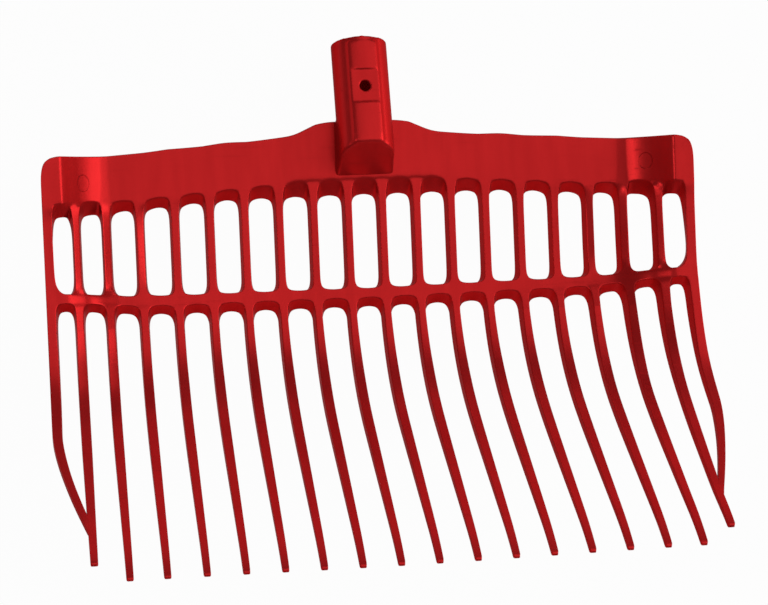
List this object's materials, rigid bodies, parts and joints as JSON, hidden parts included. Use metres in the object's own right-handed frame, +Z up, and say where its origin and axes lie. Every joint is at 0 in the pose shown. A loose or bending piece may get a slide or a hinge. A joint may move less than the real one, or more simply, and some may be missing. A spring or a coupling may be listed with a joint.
{
  "type": "manure fork head",
  "caption": "Wide plastic manure and bedding fork head: a row of curved tapered tines below a slotted, dished plate with turned-up sides and a round handle socket.",
  "frame": {"origin": "centre of the handle socket's mouth", "axes": "+X across the tines, +Y toward the handle, +Z up from the floor with the head lying on its back"},
  "size_m": [0.3836, 0.3053, 0.1619],
  "materials": {
    "red_plastic": "glossy injection-moulded red plastic with softly rounded edges"
  },
  "bodies": {
    "root": {"handle_socket": "red_plastic", "shoulder_plate": "red_plastic", "cross_rail": "red_plastic", "bar_01": "red_plastic", "bar_02": "red_plastic", "bar_03": "red_plastic", "bar_04": "red_plastic", "bar_05": "red_plastic", "bar_06": "red_plastic", "bar_07": "red_plastic", "bar_08": "red_plastic", "bar_09": "red_plastic", "bar_10": "red_plastic", "bar_11": "red_plastic", "bar_12": "red_plastic", "bar_13": "red_plastic", "bar_14": "red_plastic", "bar_15": "red_plastic", "bar_16": "red_plastic", "bar_17": "red_plastic", "bar_18": "red_plastic", "bar_19": "red_plastic", "bar_20": "red_plastic", "tine_01": "red_plastic", "tine_02": "red_plastic", "tine_03": "red_plastic", "tine_04": "red_plastic", "tine_05": "red_plastic", "tine_06": "red_plastic", "tine_07": "red_plastic", "tine_08": "red_plastic", "tine_09": "red_plastic", "tine_10": "red_plastic", "tine_11": "red_plastic", "tine_12": "red_plastic", "tine_13": "red_plastic", "tine_14": "red_plastic", "tine_15": "red_plastic", "tine_16": "red_plastic", "tine_17": "red_plastic", "tine_18": "red_plastic", "tine_19": "red_plastic", "tine_20": "red_plastic"}
  },
  "joints": []
}
